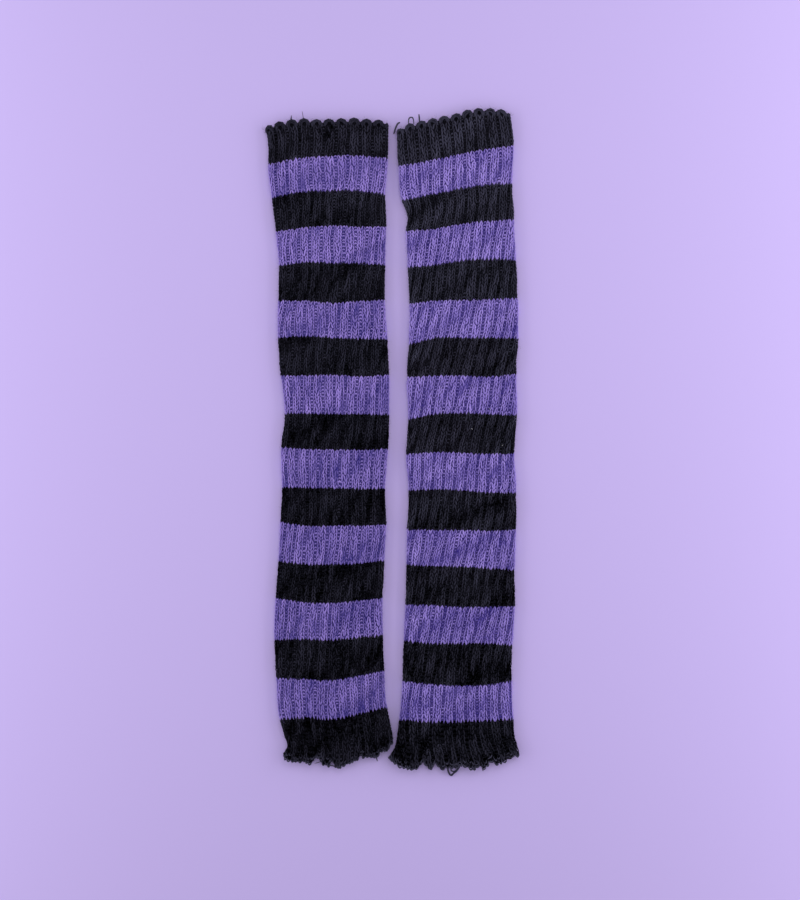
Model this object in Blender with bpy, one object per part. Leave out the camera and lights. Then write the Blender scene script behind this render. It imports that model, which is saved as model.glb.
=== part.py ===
"""A pair of striped rib-knit leg warmers, laid flat side by side.

Each one is a single knitted tube, open at both ends and pressed flat: the front panel lies
on the back panel, joined by a rounded fold down each side. The ribs stand up on the front
and round the folds, and the underside rests flat. The top ends in the scallops of the
cast-on, the bottom in a loose, ruffled cast-off.

Frame: X to the right, Y towards the tops, Z up, origin under the middle of the pair.
"""

import bpy
import numpy as np

MM = 0.001

# The knit, counted in ribs, wales (columns of stitches) and courses (rows of stitches)
RIBS_ROUND = 22
WALES_PER_RIB = 3  # one sunk wale, then two raised ones
COURSES_PER_BAND = 11
BANDS = 17  # every second one is violet, and both ends are dark
WALES_ROUND = RIBS_ROUND * WALES_PER_RIB
LAST_COURSE = BANDS * COURSES_PER_BAND

# The cloth, in millimetres
BACK_WALL = 2.3
FRONT_WALL = 2.9  # on the raised wales
SIDE_WALL = 2.7
PANEL_GAP = 0.4  # between the two panels
RIB_DEPTH = 0.9  # how far the sunk wale lies below the raised ones
RIBS_FADE = (-0.9, -0.2)  # between these Z of the outward normal, towards the flat underside
FOLD_PUFF = 0.6  # how much thicker the tube is beside its folds
FOLD_PUFF_REACH = 9.0
FLAT_THICKNESS = BACK_WALL + PANEL_GAP + FRONT_WALL

# The two ends, in millimetres, with their reach in courses
EDGE_ROUNDING = 0.7
EDGE_COURSES = 0.6
SCALLOP_RISE = 1.2  # of the raised wales, and as much fall of the sunk one
SCALLOP_COURSES = 3.0
RUFFLE_COURSES = 6.0

# Sections along the tube and points round its plain inside
SECTIONS_PER_BAND = 3
HEM_SECTIONS = (179.5, 182.0, 184.5, 186.4)
INNER_POINTS = 16

# Five places across a tube, at which a row of the tables gives the height of its course
PLACES_ACROSS = (0.0, 0.25, 0.5, 0.75, 1.0)

# One row for each change of yarn, with the two ends and one row in the hem. All but the
# course number is in millimetres: the X of the left and right folds, the Y of that course at
# the five places across, and how far the ribs have wound to the right round the tube.
LEFT_COURSES = (
    # course, left, right, y_left, y_2nd, y_mid, y_4th, y_right, wound
    (0, -116.5, -2.5, 287.5, 293.5, 293.5, 294.0, 292.0, 0.0),
    (11, -114.5, -3.0, 253.0, 257.5, 259.5, 260.0, 257.5, 0.0),
    (22, -110.5, -5.5, 221.5, 226.0, 227.0, 227.5, 224.0, -1.5),
    (33, -107.0, -4.5, 190.0, 193.0, 195.0, 194.0, 192.5, -4.0),
    (44, -105.0, -5.5, 158.5, 161.0, 160.0, 160.5, 159.0, -6.5),
    (55, -105.0, -6.5, 125.5, 126.0, 125.5, 125.5, 126.5, -8.5),
    (66, -105.0, -3.5, 92.0, 93.5, 92.5, 91.0, 91.0, -12.0),
    (77, -102.5, -2.5, 57.5, 57.5, 58.0, 56.5, 58.0, -15.5),
    (88, -99.0, -1.0, 22.5, 22.5, 22.0, 22.0, 22.5, -18.0),
    (99, -102.0, -3.0, -8.5, -10.0, -10.5, -11.0, -10.5, -19.0),
    (110, -102.0, -5.5, -45.0, -46.0, -46.0, -46.5, -45.5, -19.0),
    (121, -103.5, -5.5, -77.5, -80.5, -80.5, -80.5, -79.5, -19.5),
    (132, -105.5, -7.5, -113.0, -115.5, -116.0, -115.0, -112.5, -21.0),
    (143, -107.5, -8.5, -147.0, -150.5, -151.5, -149.5, -146.5, -23.0),
    (154, -109.0, -9.0, -184.5, -185.0, -185.5, -183.5, -181.0, -25.0),
    (165, -106.5, -6.5, -220.0, -221.0, -222.0, -219.5, -214.0, -28.0),
    (176, -104.0, -4.0, -257.5, -257.5, -258.0, -253.0, -247.5, -30.0),
    (182, -100.0, 0.0, -276.0, -279.0, -281.0, -275.5, -266.0, -31.5),
    (187, -99.5, 2.5, -293.5, -299.0, -303.0, -295.0, -281.5, -33.0),
)
RIGHT_COURSES = (
    # course, left, right, y_left, y_2nd, y_mid, y_4th, y_right, wound
    (0, 5.0, 109.0, 286.0, 293.5, 298.5, 304.5, 303.0, 0.0),
    (11, 6.5, 112.0, 251.0, 254.5, 260.0, 263.5, 267.0, 1.5),
    (22, 9.0, 111.0, 219.5, 223.0, 228.5, 232.5, 234.0, 0.5),
    (33, 13.0, 112.5, 188.0, 190.0, 196.0, 198.5, 199.5, -3.5),
    (44, 15.0, 114.5, 157.5, 157.5, 162.0, 164.0, 164.5, -9.5),
    (55, 16.5, 116.5, 122.5, 126.0, 126.5, 127.0, 128.0, -15.0),
    (66, 15.5, 116.5, 87.5, 92.5, 92.5, 92.0, 92.0, -20.5),
    (77, 13.5, 114.5, 54.0, 57.5, 57.0, 56.0, 58.5, -26.5),
    (88, 15.0, 115.5, 17.5, 22.0, 23.0, 22.0, 21.5, -32.5),
    (99, 13.5, 113.0, -15.0, -13.0, -13.5, -14.5, -14.0, -37.0),
    (110, 16.0, 115.0, -48.0, -47.0, -48.0, -50.0, -50.0, -41.5),
    (121, 14.5, 114.5, -84.0, -84.5, -84.5, -85.0, -84.0, -46.0),
    (132, 14.0, 113.5, -116.0, -117.5, -118.0, -119.5, -121.0, -51.0),
    (143, 13.0, 113.5, -153.0, -153.5, -155.0, -155.0, -154.5, -56.0),
    (154, 11.5, 111.5, -186.0, -188.5, -188.5, -188.5, -190.0, -60.0),
    (165, 10.0, 110.5, -223.0, -226.0, -227.5, -227.0, -223.0, -63.5),
    (176, 7.0, 112.0, -258.5, -260.5, -260.0, -259.5, -258.0, -65.5),
    (182, 4.5, 115.0, -279.0, -283.5, -284.0, -283.0, -278.0, -67.0),
    (187, -2.0, 117.0, -292.0, -303.5, -304.0, -303.5, -293.0, -68.0),
)

# The waves of the loose bottom edge, a row for each crest and notch: its place across the
# tube, how far it reaches past its course, and how far the front panel lifts there, in mm
LEFT_HEM = (
    # across, reach, lift
    (0.00, 0.0, 1.6),
    (0.10, 1.5, 2.2),
    (0.20, 0.7, 0.8),
    (0.285, 0.0, 1.8),
    (0.315, -5.5, 0.2),
    (0.345, -1.0, 1.6),
    (0.40, -1.0, 2.0),
    (0.445, -3.0, 0.4),
    (0.50, 0.5, 1.8),
    (0.58, -1.0, 0.6),
    (0.66, -1.0, 1.8),
    (0.71, -4.0, 0.3),
    (0.76, 0.5, 1.2),
    (0.84, 4.0, 2.0),
    (0.90, 2.5, 0.6),
    (1.00, 0.0, 0.8),
)
RIGHT_HEM = (
    # across, reach, lift
    (0.00, 0.0, 0.8),
    (0.08, 3.5, 1.6),
    (0.16, 3.8, 2.4),
    (0.22, 1.0, 1.2),
    (0.272, -5.0, 0.2),
    (0.32, -0.5, 1.8),
    (0.36, -3.0, 0.3),
    (0.42, 0.5, 1.6),
    (0.49, -2.0, 0.4),
    (0.56, -1.0, 1.4),
    (0.63, 0.5, 2.0),
    (0.69, 0.0, 0.5),
    (0.73, 1.5, 1.8),
    (0.785, -3.0, 0.2),
    (0.84, 0.0, 1.6),
    (0.92, 0.0, 0.6),
    (0.955, -2.0, 1.0),
    (1.00, 0.0, 2.2),
)

# The yarns' colours in each tube, as red, green and blue from 0 to 255
LEFT_YARNS = {"dark": (21, 21, 31), "violet": (94, 79, 145)}
RIGHT_YARNS = {"dark": (26, 26, 38), "violet": (98, 83, 150)}
YARN_ROUGHNESS = 0.95


def smooth(places, values, at):
    """A smooth curve through values at places, read at each number of at."""
    places = np.asarray(places, float)
    values = np.asarray(values, float)
    at = np.clip(np.asarray(at, float), places[0], places[-1])
    slopes = np.gradient(values, places, axis=0)
    low = np.clip(np.searchsorted(places, at, side="right") - 1, 0, len(places) - 2)
    span = places[low + 1] - places[low]
    t = (at - places[low]) / span
    if values.ndim > 1:
        t = t[..., None]
        span = span[..., None]
    near = (1 + 2 * t) * (1 - t) ** 2 * values[low] + t * (1 - t) ** 2 * span * slopes[low]
    far = t**2 * (3 - 2 * t) * values[low + 1] + t**2 * (t - 1) * span * slopes[low + 1]
    return near + far


def ease(t):
    """0 below 0, 1 above 1, and smooth between."""
    t = np.clip(t, 0.0, 1.0)
    return t * t * (3 - 2 * t)


def flat_ring(turn, width, thickness):
    """Points of a flattened tube's section and their outward normals, for turn from 0 at the
    left fold, over the top, 0.5 at the right fold and back along the underside."""
    radius = thickness / 2
    run = width - thickness
    quarter = np.pi * radius / 2
    along = np.mod(turn, 1.0) * (2 * run + 4 * quarter)
    first = np.clip(along, 0, quarter)
    over = np.clip(along - quarter, 0, run)
    right = np.clip(along - quarter - run, 0, 2 * quarter)
    back = np.clip(along - 3 * quarter - run, 0, run)
    last = np.clip(along - 3 * quarter - 2 * run, 0, quarter)
    angle = np.pi - (first + right + last) / radius
    nx = np.cos(angle)
    nz = np.sin(angle)
    x = over - back - run / 2 + radius * nx
    z = radius + radius * nz
    return x, z, nx, nz


def is_raised(wale):
    """1 on the two raised wales of each rib, 0 on the sunk one."""
    return np.where(wale % WALES_PER_RIB == 0, 0.0, 1.0)


def on_course(row, hem, course, x, z, nz, rise):
    """Places a section's points, x and z in mm, on their course: a curve across the tube."""
    left, right = row[0], row[1]
    heights = row[2:7]
    across = np.clip(x / (right - left) + 0.5, 0.0, 1.0)
    ruffle = ease(1 - (LAST_COURSE - course) / RUFFLE_COURSES)
    across_hem, reach, lift = np.transpose(hem)
    upper = (1 + nz) / 2
    from_fold = np.minimum(across, 1 - across) * (right - left)
    puff = FOLD_PUFF * ease(1 - np.abs(from_fold - FOLD_PUFF_REACH / 2) / FOLD_PUFF_REACH)
    points = np.empty((len(x), 3))
    points[:, 0] = (left + right) / 2 + x
    points[:, 1] = smooth(PLACES_ACROSS, heights, across) + rise
    points[:, 1] -= ruffle * smooth(across_hem, reach, across)
    points[:, 2] = z + upper * (puff + ruffle * smooth(across_hem, lift, across))
    return points


def outer_ring(row, hem, course):
    """The ribbed outer points of one section, one for each wale, and their turns."""
    width = row[1] - row[0]
    wound = row[7]
    wale = np.arange(WALES_ROUND)
    round_tube = 2 * width + (np.pi - 2) * FLAT_THICKNESS
    turn = (wale + 0.5) / WALES_ROUND + wound / round_tube
    x, z, nx, nz = flat_ring(turn, width, FLAT_THICKNESS)
    to_edge = min(course, LAST_COURSE - course)
    standing = ease((nz - RIBS_FADE[0]) / (RIBS_FADE[1] - RIBS_FADE[0]))
    sink = RIB_DEPTH * (1 - is_raised(wale)) * standing
    sink = sink + EDGE_ROUNDING * ease(1 - to_edge / EDGE_COURSES)
    scallop = SCALLOP_RISE * ease(1 - course / SCALLOP_COURSES)
    rise = scallop * (2 * is_raised(wale) - 1)
    return on_course(row, hem, course, x - sink * nx, z - sink * nz, nz, rise), turn


def inner_ring(row, hem, course):
    """The plain inner points of one section, round the slit between the panels."""
    width = row[1] - row[0] - 2 * SIDE_WALL
    turn = np.arange(INNER_POINTS) / INNER_POINTS
    x, z, _, nz = flat_ring(turn, width, PANEL_GAP)
    return on_course(row, hem, course, x, z + BACK_WALL, nz, 0.0), turn


def wall_faces(first, count, sections, outward):
    """Quads between the rings of points that follow each other from index first."""
    faces = []
    for s in range(sections - 1):
        for i in range(count):
            a = first + s * count + i
            b = first + s * count + (i + 1) % count
            quad = (a, a + count, b + count, b)
            faces.append(quad if outward else quad[::-1])
    return faces


def rim_faces(outer_first, outer_turn, inner_first, inner_turn, at_top):
    """Triangles across the wall at one end, between its outer and inner rings."""
    outer_turn = np.mod(outer_turn, 1.0)
    outer = outer_first + np.argsort(outer_turn)
    outer_turn = np.sort(outer_turn)
    inner = inner_first + np.arange(len(inner_turn))
    faces = []
    o = i = 0
    while o < len(outer) or i < len(inner):
        next_outer = outer_turn[(o + 1) % len(outer)] + (o + 1) // len(outer)
        next_inner = inner_turn[(i + 1) % len(inner)] + (i + 1) // len(inner)
        at_outer, at_inner = outer[o % len(outer)], inner[i % len(inner)]
        if i >= len(inner) or (o < len(outer) and next_outer <= next_inner):
            o += 1
            face = (at_outer, outer[o % len(outer)], at_inner)
        else:
            i += 1
            face = (at_outer, inner[i % len(inner)], at_inner)
        faces.append(tuple(int(v) for v in (face if at_top else face[::-1])))
    return faces


def section_courses():
    """The courses at which sections are made, closer together at the two ends."""
    above_hem = (BANDS - 1) * SECTIONS_PER_BAND + 1
    plain = np.arange(above_hem) * COURSES_PER_BAND / SECTIONS_PER_BAND
    return sorted({*plain, EDGE_COURSES, *HEM_SECTIONS, float(LAST_COURSE)})


def linear(colour):
    """A screen colour from 0 to 255 as the linear one that a shader takes."""
    share = np.asarray(colour) / 255
    return tuple(np.where(share <= 0.04045, share / 12.92, ((share + 0.055) / 1.055) ** 2.4))


def yarn_material(name, colour):
    material = bpy.data.materials.new(name)
    material.use_nodes = True
    shader = material.node_tree.nodes["Principled BSDF"]
    shader.inputs["Base Color"].default_value = (*linear(colour), 1.0)
    shader.inputs["Roughness"].default_value = YARN_ROUGHNESS
    shader.inputs["Metallic"].default_value = 0.0
    material.diffuse_color = (*linear(colour), 1.0)
    return material


def leg_warmer(name, table, hem, yarns):
    """One tube: its sections, its outer and inner walls, and the rims at both ends."""
    rows = np.array(table, float)
    courses = section_courses()
    outer, inner, turns = [], [], []
    for course in courses:
        row = smooth(rows[:, 0], rows[:, 1:], course)
        points, turn = outer_ring(row, hem, course)
        outer.append(points)
        turns.append(turn)
        points, inner_turn = inner_ring(row, hem, course)
        inner.append(points)
    inner_first = len(courses) * WALES_ROUND
    last_outer = inner_first - WALES_ROUND
    last_inner = inner_first + (len(courses) - 1) * INNER_POINTS
    faces = wall_faces(0, WALES_ROUND, len(courses), True)
    faces += wall_faces(inner_first, INNER_POINTS, len(courses), False)
    faces += rim_faces(0, turns[0], inner_first, inner_turn, True)
    faces += rim_faces(last_outer, turns[-1], last_inner, inner_turn, False)
    mesh = bpy.data.meshes.new(name)
    mesh.from_pydata(np.concatenate(outer + inner) * MM, [], faces)
    for kind, colour in yarns.items():
        mesh.materials.append(yarn_material(f"{name}_{kind}", colour))
    ring_sizes = (WALES_ROUND, INNER_POINTS)
    course_of_point = np.concatenate([np.repeat(courses, size) for size in ring_sizes])
    for face in mesh.polygons:
        middle = np.mean(course_of_point[list(face.vertices)])
        face.material_index = int(middle // COURSES_PER_BAND) % 2
    mesh.shade_smooth()
    mesh.set_sharp_from_angle(angle=np.radians(60))
    thing = bpy.data.objects.new(name, mesh)
    bpy.context.collection.objects.link(thing)
    return thing


def centre_on_origin(things):
    """Puts the origin under the middle of the pair, on the surface that they lie on."""
    points = np.array([v.co for thing in things for v in thing.data.vertices])
    low, high = points.min(axis=0), points.max(axis=0)
    for thing in things:
        thing.location = (-(low[0] + high[0]) / 2, -(low[1] + high[1]) / 2, -low[2])


def build():
    for thing in list(bpy.data.objects):
        bpy.data.objects.remove(thing)
    pair = bpy.data.objects.new("leg_warmers", None)
    bpy.context.collection.objects.link(pair)
    tubes = [
        leg_warmer("leg_warmer_left", LEFT_COURSES, LEFT_HEM, LEFT_YARNS),
        leg_warmer("leg_warmer_right", RIGHT_COURSES, RIGHT_HEM, RIGHT_YARNS),
    ]
    centre_on_origin(tubes)
    for tube in tubes:
        tube.parent = pair


build()
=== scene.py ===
"""The looks of a pair of striped rib-knit leg warmers, laid flat side by side.

Each tube is a thin shell on its solid's form, and every stitch of it is laid on that shell:
the two leaning legs of each knit stitch on the raised wales and one bump for each purl stitch
on the sunk ones, a piece for each band of yarn. The loops of both edges, the loose ends and
the fuzz are pieces too.
"""

import bpy
import numpy as np
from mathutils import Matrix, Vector


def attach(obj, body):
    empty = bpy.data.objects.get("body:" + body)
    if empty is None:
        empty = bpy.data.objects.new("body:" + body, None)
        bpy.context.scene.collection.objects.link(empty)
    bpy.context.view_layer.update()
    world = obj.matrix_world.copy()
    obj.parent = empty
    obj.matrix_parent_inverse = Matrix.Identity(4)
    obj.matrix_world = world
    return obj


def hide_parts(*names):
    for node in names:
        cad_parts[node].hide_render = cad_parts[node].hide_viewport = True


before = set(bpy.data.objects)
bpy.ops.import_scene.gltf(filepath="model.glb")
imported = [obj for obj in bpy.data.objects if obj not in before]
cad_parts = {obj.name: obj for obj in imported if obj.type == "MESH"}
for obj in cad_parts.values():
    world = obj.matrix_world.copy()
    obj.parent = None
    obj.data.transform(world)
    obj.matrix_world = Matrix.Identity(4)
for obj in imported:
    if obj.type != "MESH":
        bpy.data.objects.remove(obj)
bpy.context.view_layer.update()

MM = 0.001

# The picture: 800 by 900 pixels, seen straight from above
PIXEL = 0.92  # mm on the floor for each pixel
PICTURE_HEIGHT = 900
PICTURE_MIDDLE = (400.0, 450.0)
ORIGIN_PIXEL = (391.7, 437.5)  # where the frame's origin lies in the picture
LENS = 85.0
SENSOR = 36.0
CLIP_END = 20.0  # metres

# The knit, counted in ribs, wales (columns of stitches) and courses (rows of stitches)
RIBS_ROUND = 22
WALES_PER_RIB = 3  # one sunk wale, then two raised ones
COURSES_PER_BAND = 11
BANDS = 17  # every second one is violet, and both ends are dark
WALES_ROUND = RIBS_ROUND * WALES_PER_RIB
LAST_COURSE = BANDS * COURSES_PER_BAND
WALE = 3.2  # mm, the width of a stitch
COURSE = 3.2  # mm, its height

# The cloth, in millimetres
BACK_WALL = 2.3
FRONT_WALL = 2.9
SIDE_WALL = 2.7
PANEL_GAP = 0.4
FOLD_PUFF = 0.6
FOLD_PUFF_REACH = 9.0
FLAT_THICKNESS = BACK_WALL + PANEL_GAP + FRONT_WALL
SHELL_DEPTH = 0.82  # from the crests of the raised wales to the shell
SUNK_DEPTH = {"left": 0.2, "right": 0.5}  # how much deeper the purl bumps lie
NARROWING = 0.34  # how much narrower the sunk wales lie than the knit's mean
FRONT_SPREAD = 0.0155  # of a turn, by which the ribs lie wider apart on the front
PAIR_SHIFT = (-0.42, -0.23, 0.0)  # from the tables below to the frame's origin
RIBS_FADE = (-0.9, -0.2)  # between these Z of the outward normal, towards the underside
RUFFLE_COURSES = 6.0
SCALLOP_COURSES = 3.0
SCALLOP_HEIGHT = {"left": 2.4, "right": 1.7}
SCALLOP_DROP = 3.2
BACK_SHORT = 2.6  # how much lower the back panel's top edge lies
CORNER_DROP = 1.4  # how much lower the top edge lies at the folds
CORNER_REACH = 7.0
PLACES_ACROSS = (0.0, 0.25, 0.5, 0.75, 1.0)
INNER_POINTS = 66
INNER_SHORT = (4.2, 1.1)  # mm, by which the plain inside ends short of the top and of the hem

# One row for each change of yarn, for both ends and for a few courses more where a fold or the
# hem bends: the X of the folds, the Y of that course at five places across, and how far the
# ribs have wound to the right round the tube, in mm
LEFT_COURSES = (
    # course, left, right, y_left, y_2nd, y_mid, y_4th, y_right, wound
    (0, -116.2, -2.5, 287.5, 293.5, 293.5, 294.0, 292.0, 0.0),
    (4, -113.4, -2.6, 275.0, 280.4, 281.1, 281.6, 279.5, 0.0),
    (11, -113.2, -3.0, 251.0, 256.7, 258.9, 259.3, 256.7, 0.0),
    (22, -109.8, -5.5, 220.5, 226.0, 227.0, 227.0, 223.5, -1.5),
    (33, -106.0, -4.5, 189.5, 193.0, 195.0, 194.0, 194.0, -4.0),
    (44, -103.4, -5.5, 158.0, 161.5, 160.8, 160.5, 159.0, -6.5),
    (55, -103.9, -6.0, 126.0, 126.0, 124.0, 125.5, 127.0, -8.5),
    (66, -104.1, -3.5, 92.0, 93.5, 92.2, 91.2, 90.8, -12.0),
    (77, -101.4, -2.0, 57.5, 57.5, 58.0, 56.7, 58.2, -15.5),
    (88, -97.4, -1.8, 22.3, 22.5, 22.2, 22.0, 21.0, -18.0),
    (99, -101.2, -2.8, -8.5, -10.0, -10.5, -10.9, -10.2, -19.0),
    (110, -100.2, -5.7, -45.0, -45.5, -46.0, -46.5, -46.2, -19.0),
    (121, -101.6, -4.8, -77.0, -80.4, -80.5, -80.5, -79.3, -19.5),
    (132, -103.7, -6.3, -113.0, -115.8, -116.0, -115.0, -112.5, -21.0),
    (143, -106.2, -7.8, -147.0, -150.5, -151.5, -149.5, -146.8, -23.0),
    (154, -107.4, -7.6, -185.5, -184.5, -185.5, -183.3, -180.6, -25.0),
    (165, -105.6, -6.3, -220.3, -221.5, -222.5, -218.6, -213.6, -28.0),
    (176, -102.4, -4.0, -258.5, -256.6, -258.0, -253.0, -247.0, -30.0),
    (181, -98.4, -0.5, -273.0, -276.0, -278.0, -272.5, -263.5, -31.3),
    (185, -95.8, 1.6, -286.0, -290.4, -293.6, -286.6, -274.8, -32.4),
    (187, -100.0, 2.0, -293.5, -299.0, -303.0, -295.0, -281.5, -33.0),
)
RIGHT_COURSES = (
    # course, left, right, y_left, y_2nd, y_mid, y_4th, y_right, wound
    (0, 5.0, 109.0, 286.0, 293.5, 298.5, 304.5, 302.0, 0.0),
    (11, 6.2, 112.4, 249.5, 254.5, 260.0, 265.0, 268.5, 1.5),
    (22, 9.8, 111.0, 218.0, 223.5, 228.3, 232.5, 233.3, 0.5),
    (26, 14.4, 111.6, 206.5, 212.0, 216.8, 220.6, 221.5, -0.7),
    (33, 13.8, 112.9, 190.0, 192.0, 196.5, 199.5, 200.5, -3.5),
    (44, 15.2, 114.5, 156.6, 159.0, 163.0, 164.3, 163.6, -9.5),
    (55, 16.6, 116.3, 123.0, 126.3, 126.5, 127.6, 128.5, -15.0),
    (66, 16.0, 116.5, 85.8, 91.8, 92.2, 92.0, 91.5, -20.5),
    (77, 14.4, 114.8, 55.8, 57.2, 57.4, 56.2, 58.8, -26.5),
    (88, 15.6, 115.5, 17.0, 22.0, 22.8, 22.0, 20.9, -32.5),
    (99, 13.5, 113.0, -15.0, -13.0, -13.5, -14.5, -14.0, -37.0),
    (110, 16.0, 115.0, -48.0, -47.0, -48.0, -50.0, -50.0, -41.5),
    (121, 14.5, 114.5, -84.0, -84.5, -84.5, -85.0, -84.0, -46.0),
    (132, 14.0, 113.5, -116.0, -117.5, -118.0, -119.5, -121.0, -51.0),
    (143, 13.0, 113.5, -153.0, -153.5, -155.0, -155.0, -154.5, -56.0),
    (154, 11.5, 111.5, -186.0, -188.5, -188.5, -188.5, -190.0, -60.0),
    (165, 10.0, 110.5, -223.0, -226.0, -227.5, -227.0, -223.0, -63.8),
    (176, 7.0, 112.0, -258.5, -260.5, -260.0, -259.5, -258.0, -67.2),
    (181, 4.8, 113.5, -275.5, -280.0, -280.5, -279.5, -275.0, -68.4),
    (185, 1.8, 116.6, -286.6, -293.8, -294.8, -293.8, -284.6, -69.2),
    (187, -3.0, 118.0, -292.0, -303.5, -304.0, -303.5, -293.0, -69.6),
)

# The waves of the loose bottom edge: place across the tube, how far it reaches past its
# course, and how far the front panel lifts there, in mm
LEFT_HEM = (
    # across, reach, lift
    (0.00, -2.2, 1.6),
    (0.02, 0.0, 2.0),
    (0.08, 1.6, 2.2),
    (0.14, 1.2, 1.4),
    (0.20, -0.2, 0.8),
    (0.262, -0.4, 1.6),
    (0.274, -1.6, 1.0),
    (0.284, -5.4, 0.2),
    (0.291, -6.0, 0.2),
    (0.337, -6.0, 0.2),
    (0.344, -5.4, 0.2),
    (0.354, -2.6, 1.6),
    (0.39, -2.0, 2.0),
    (0.425, -2.2, 1.2),
    (0.438, -4.8, 0.3),
    (0.458, -4.8, 0.3),
    (0.474, -1.0, 1.4),
    (0.50, -0.2, 1.8),
    (0.58, -1.8, 0.6),
    (0.655, -2.4, 1.8),
    (0.68, -2.4, 1.2),
    (0.70, -5.0, 0.3),
    (0.73, -2.6, 0.6),
    (0.77, -0.6, 1.2),
    (0.82, 1.8, 2.0),
    (0.85, 2.4, 1.6),
    (0.875, 0.8, 1.0),
    (0.91, 1.4, 0.6),
    (0.945, 2.6, 0.6),
    (0.97, -0.6, 0.6),
    (1.00, -1.6, 0.8),
)
RIGHT_HEM = (
    # across, reach, lift
    (0.00, 1.0, 0.8),
    (0.03, 3.6, 1.2),
    (0.08, 4.8, 1.6),
    (0.13, 4.8, 2.4),
    (0.18, 3.6, 2.0),
    (0.225, 0.8, 1.2),
    (0.262, -5.6, 0.2),
    (0.274, -5.6, 0.2),
    (0.296, -1.8, 1.4),
    (0.332, -1.0, 1.8),
    (0.350, -5.2, 0.3),
    (0.364, -5.2, 0.3),
    (0.40, 0.6, 1.6),
    (0.43, -0.6, 1.2),
    (0.535, -1.6, 0.4),
    (0.555, -3.2, 0.6),
    (0.60, -1.6, 1.8),
    (0.665, -0.6, 2.0),
    (0.695, -2.6, 0.5),
    (0.722, 0.4, 1.8),
    (0.752, -1.8, 1.0),
    (0.782, -5.4, 0.2),
    (0.792, -5.4, 0.2),
    (0.812, -2.2, 1.0),
    (0.86, -1.0, 1.6),
    (0.90, -1.6, 0.6),
    (0.916, -3.8, 0.8),
    (0.934, 0.0, 1.2),
    (0.952, -3.4, 1.0),
    (0.975, -1.6, 1.8),
    (1.00, -0.8, 2.2),
)

# Lobes of yarn, as rings along each one: the course and wale from the stitch's middle, the
# height of its centre above the solids' raised wales in mm, and its radius in mm (0 at a tip)
LEG = (
    # course, wale, height, radius
    (-0.92, 0.06, -0.66, 0.0),
    (-0.60, 0.15, -0.38, 0.48),
    (-0.05, 0.29, -0.34, 0.58),
    (0.42, 0.36, -0.58, 0.50),
    (0.72, 0.34, -1.05, 0.0),
)
PRESSED_LEG = (
    # course, wale, height, radius
    (-0.75, 0.08, -0.80, 0.0),
    (-0.35, 0.21, -0.45, 0.56),
    (0.30, 0.35, -0.50, 0.56),
    (0.66, 0.32, -0.95, 0.0),
)
BUMP = (
    # course, wale, height, radius
    (-0.14, -0.76, -0.80, 0.0),
    (-0.44, -0.36, -0.58, 0.62),
    (-0.58, 0.0, -0.50, 0.72),
    (-0.44, 0.36, -0.58, 0.62),
    (-0.14, 0.76, -0.80, 0.0),
)
PRESSED_BUMP = (
    # course, wale, height, radius
    (-0.25, -0.66, -0.85, 0.0),
    (-0.55, -0.26, -0.55, 0.56),
    (-0.55, 0.26, -0.55, 0.56),
    (-0.25, 0.66, -0.85, 0.0),
)
LEG_GIRTH = (1.0, 0.0)
BUMP_GIRTH = (0.0, 1.25)
STITCH_MIDDLE = 0.78  # of a course, where a stitch's middle lies in it
LOBE_SIDES = 4
PRESSED_SIDES = 3
PRESSED_BELOW = -0.3  # where the outward normal's Z is less, the stitches are pressed flat

# How much the stitches differ: shifts in wales, courses and mm, growth, and slow waves
STITCH_SHIFT = (0.06, 0.07, 0.10)
STITCH_GROWTH = 0.09
DRIFT = 0.19  # wales
DRIFT_COURSES = 12.0  # below the top edge, where the wales start to drift
SWELL = 0.16  # mm
DRIFT_WAVES = (12, 9, 14.0)  # how many, the most round the tube and the most along it
SWELL_WAVES = (30, 33, 24.0)
SEEDS = {"left": 11, "right": 12}  # of all that differs at random

# Painted shade and highlight: how far the yarn's tone is raised from its deep, shaded colour
# towards its lit crest colour at the crests, and how much it changes from stitch to stitch
PAINTED_CREST_LIGHT = 1.0
# the tone rises from painted shade at the lower height to painted highlight at the upper one
PAINTED_SHADE_HEIGHTS = (-0.95, 0.12)  # mm, the heights between which it brightens
STITCH_TONE = 0.12
PAINTED_TOP_LIGHT = {
    # painted light, as where the light falls more strongly towards the top: the tone at the bottom
    #     # edge, how much paler it is at the top one, and the power of the curve between them
    ("left", "dark"): (-0.86, 0.48, 3.0),
    ("left", "violet"): (-0.14, 0.40, 1.0),
    ("right", "dark"): (-0.88, 0.78, 1.2),
    ("right", "violet"): (-0.12, 0.42, 1.0),
}

# The knobs of the top edge: two round arches of yarn for each rib
CAST_ON_ARCHES = (
    # half width (in ribs), course at the crown, rise (in courses), foot, height, radius
    (0.33, 0.30, 1.25, 0.9, -0.70, 1.15),
    (0.18, 0.78, 0.80, 0.6, -0.45, 0.92),
)
KNOB_UNEVENNESS = (0.16, 0.10, 0.14, 0.12)  # in wales, courses, mm, and of the rise
KNOB_THICKNESS = 0.08  # how much an arch's radius differs, as a share of it
# painted highlight: the knobs' tone, raised as at a crest
PAINTED_KNOB_LIGHT = 0.75  # over the yarn's tone at the top edge
ARCH_SHARE = 0.36  # of a strand's length, bent round the knob, with a leg on each side of it
LEG_TAPER = 0.4  # how much thinner a leg is at its end, as a share of the radius
ARCH_POINTS = 13
YARN_SIDES = 6
CROWN_COURSES = 1  # the courses of stitches that the knobs take the place of

# The loops of the bottom edge, one of each for each wale
CAST_OFF_LOOPS = (
    # start, end (in wales), course, course at its middle, height, radius
    (-0.42, 0.66, 186.1, 187.02, -0.75, 0.85),
    (-0.25, 0.60, 185.7, 186.2, -0.45, 0.60),
)
LOOP_UNEVENNESS = (0.10, 0.14, 0.12)  # in wales, courses and mm
LOOP_THICKNESS = 0.12
LOOP_POINTS = 7
LOOP_SIDES = 5
STITCHES_END = 186.65  # the lowest course that the last stitches reach

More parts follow.
